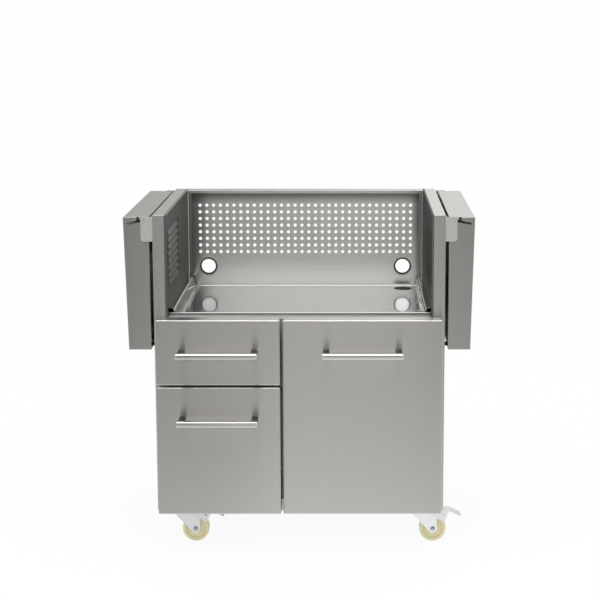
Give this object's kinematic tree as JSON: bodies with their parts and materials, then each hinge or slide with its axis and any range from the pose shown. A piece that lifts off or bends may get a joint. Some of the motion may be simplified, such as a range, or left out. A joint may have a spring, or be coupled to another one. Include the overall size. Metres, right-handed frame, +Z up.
{
  "type": "grill cart",
  "caption": "Stainless steel cart for a built-in grill: open bay with perforated back, two drawers, pull-out tank cabinet, folding side shelves and swivel casters.",
  "frame": {"origin": "on the floor, under the centre of the cart with its shelves folded down", "axes": "+X to the right seen from the front, +Y to the back, +Z up"},
  "size_m": [0.9626, 0.656, 0.9455],
  "materials": {
    "brushed_stainless": "brushed",
    "polished_stainless": "polished",
    "satin_stainless_bar": "satin",
    "zinc_plated_steel": "zinc plated",
    "cream_nylon": "moulded",
    "black_rubber": "matt"
  },
  "bodies": {
    "cabinet": {"right_side_panel": "brushed_stainless", "left_side_panel": "brushed_stainless", "right_inner_wall": "brushed_stainless", "left_inner_wall": "brushed_stainless", "back_top_rail": "brushed_stainless", "upper_back_panel": "brushed_stainless", "hose_grommets": "black_rubber", "rear_corner_angles": "brushed_stainless", "grill_tray": "polished_stainless", "support_rails": "brushed_stainless", "rail_screws": "zinc_plated_steel", "front_apron": "brushed_stainless", "centre_divider": "brushed_stainless", "lower_back_panel": "brushed_stainless", "base_pan": "brushed_stainless", "base_channels": "zinc_plated_steel", "slide_outers": "zinc_plated_steel", "shelf_brackets": "brushed_stainless", "shelf_pins": "zinc_plated_steel", "shelf_bumpers": "black_rubber", "caster_plates": "zinc_plated_steel", "caster_bolts": "zinc_plated_steel"},
    "left_shelf": {"left_shelf": "brushed_stainless", "left_shelf_stiffener": "brushed_stainless"},
    "right_shelf": {"right_shelf": "brushed_stainless", "right_shelf_stiffener": "brushed_stainless"},
    "upper_drawer": {"upper_drawer_front": "brushed_stainless", "upper_drawer_box": "brushed_stainless", "upper_handle_bar": "satin_stainless_bar", "upper_handle_posts": "satin_stainless_bar", "upper_slide_inners": "zinc_plated_steel"},
    "upper_slide": {"upper_slide_middles": "zinc_plated_steel"},
    "lower_drawer": {"lower_drawer_front": "brushed_stainless", "lower_drawer_box": "brushed_stainless", "lower_handle_bar": "satin_stainless_bar", "lower_handle_posts": "satin_stainless_bar", "lower_slide_inners": "zinc_plated_steel"},
    "lower_slide": {"lower_slide_middles": "zinc_plated_steel"},
    "tank_drawer": {"tank_drawer_front": "brushed_stainless", "tank_tray": "brushed_stainless", "tank_ring": "brushed_stainless", "tank_front_liner": "brushed_stainless", "tank_handle_bar": "satin_stainless_bar", "tank_handle_posts": "satin_stainless_bar", "tank_slide_inners": "zinc_plated_steel"},
    "tank_slide": {"tank_slide_middles": "zinc_plated_steel"},
    "front_left_caster": {"front_left_fork": "zinc_plated_steel", "front_left_axle": "zinc_plated_steel"},
    "front_left_wheel": {"front_left_wheel": "cream_nylon"},
    "front_left_brake": {"front_left_brake_pedal": "zinc_plated_steel"},
    "front_right_caster": {"front_right_fork": "zinc_plated_steel", "front_right_axle": "zinc_plated_steel"},
    "front_right_wheel": {"front_right_wheel": "cream_nylon"},
    "front_right_brake": {"front_right_brake_pedal": "zinc_plated_steel"},
    "rear_left_caster": {"rear_left_fork": "zinc_plated_steel", "rear_left_axle": "zinc_plated_steel"},
    "rear_left_wheel": {"rear_left_wheel": "cream_nylon"},
    "rear_right_caster": {"rear_right_fork": "zinc_plated_steel", "rear_right_axle": "zinc_plated_steel"},
    "rear_right_wheel": {"rear_right_wheel": "cream_nylon"}
  },
  "joints": [
    {"name": "upper_drawer_pull", "type": "slide", "parent": "cabinet", "child": "upper_drawer", "axis": [0, -1, 0], "range_m": [0, 0.43]},
    {"name": "upper_slide_telescope", "type": "slide", "parent": "cabinet", "child": "upper_slide", "axis": [0, -1, 0], "range_m": [0, 0.215]},
    {"name": "lower_drawer_pull", "type": "slide", "parent": "cabinet", "child": "lower_drawer", "axis": [0, -1, 0], "range_m": [0, 0.43]},
    {"name": "lower_slide_telescope", "type": "slide", "parent": "cabinet", "child": "lower_slide", "axis": [0, -1, 0], "range_m": [0, 0.215]},
    {"name": "tank_drawer_pull", "type": "slide", "parent": "cabinet", "child": "tank_drawer", "axis": [0, -1, 0], "range_m": [0, 0.43]},
    {"name": "tank_slide_telescope", "type": "slide", "parent": "cabinet", "child": "tank_slide", "axis": [0, -1, 0], "range_m": [0, 0.215]},
    {"name": "left_shelf_fold", "type": "hinge", "parent": "cabinet", "child": "left_shelf", "pos_m": [-0.423, 0, 0.931], "axis": [0, 1, 0], "range_deg": [0, 91.4]},
    {"name": "right_shelf_fold", "type": "hinge", "parent": "cabinet", "child": "right_shelf", "pos_m": [0.423, 0, 0.931], "axis": [0, -1, 0], "range_deg": [0, 91.4]},
    {"name": "front_left_swivel", "type": "hinge", "parent": "cabinet", "child": "front_left_caster", "pos_m": [-0.337, -0.172, 0.09], "axis": [0, 0, 1], "continuous": true},
    {"name": "front_left_wheel_spin", "type": "hinge", "parent": "front_left_caster", "child": "front_left_wheel", "pos_m": [-0.3, -0.172, 0.0375], "axis": [0, 1, 0], "continuous": true},
    {"name": "front_left_brake_press", "type": "hinge", "parent": "front_left_caster", "child": "front_left_brake", "pos_m": [-0.307, -0.172, 0.086], "axis": [0, 1, 0], "range_deg": [0, 12]},
    {"name": "front_right_swivel", "type": "hinge", "parent": "cabinet", "child": "front_right_caster", "pos_m": [0.337, -0.172, 0.09], "axis": [0, 0, 1], "continuous": true},
    {"name": "front_right_wheel_spin", "type": "hinge", "parent": "front_right_caster", "child": "front_right_wheel", "pos_m": [0.374, -0.172, 0.0375], "axis": [0, 1, 0], "continuous": true},
    {"name": "front_right_brake_press", "type": "hinge", "parent": "front_right_caster", "child": "front_right_brake", "pos_m": [0.367, -0.172, 0.086], "axis": [0, 1, 0], "range_deg": [0, 12]},
    {"name": "rear_left_swivel", "type": "hinge", "parent": "cabinet", "child": "rear_left_caster", "pos_m": [-0.337, 0.273, 0.09], "axis": [0, 0, 1], "continuous": true},
    {"name": "rear_left_wheel_spin", "type": "hinge", "parent": "rear_left_caster", "child": "rear_left_wheel", "pos_m": [-0.3, 0.273, 0.0375], "axis": [0, 1, 0], "continuous": true},
    {"name": "rear_right_swivel", "type": "hinge", "parent": "cabinet", "child": "rear_right_caster", "pos_m": [0.337, 0.273, 0.09], "axis": [0, 0, 1], "continuous": true},
    {"name": "rear_right_wheel_spin", "type": "hinge", "parent": "rear_right_caster", "child": "rear_right_wheel", "pos_m": [0.374, 0.273, 0.0375], "axis": [0, 1, 0], "continuous": true}
  ],
  "couplings": [
    {"joint": "upper_slide_telescope", "follows": "upper_drawer_pull", "ratio": 0.5},
    {"joint": "lower_slide_telescope", "follows": "lower_drawer_pull", "ratio": 0.5},
    {"joint": "tank_slide_telescope", "follows": "tank_drawer_pull", "ratio": 0.5}
  ]
}
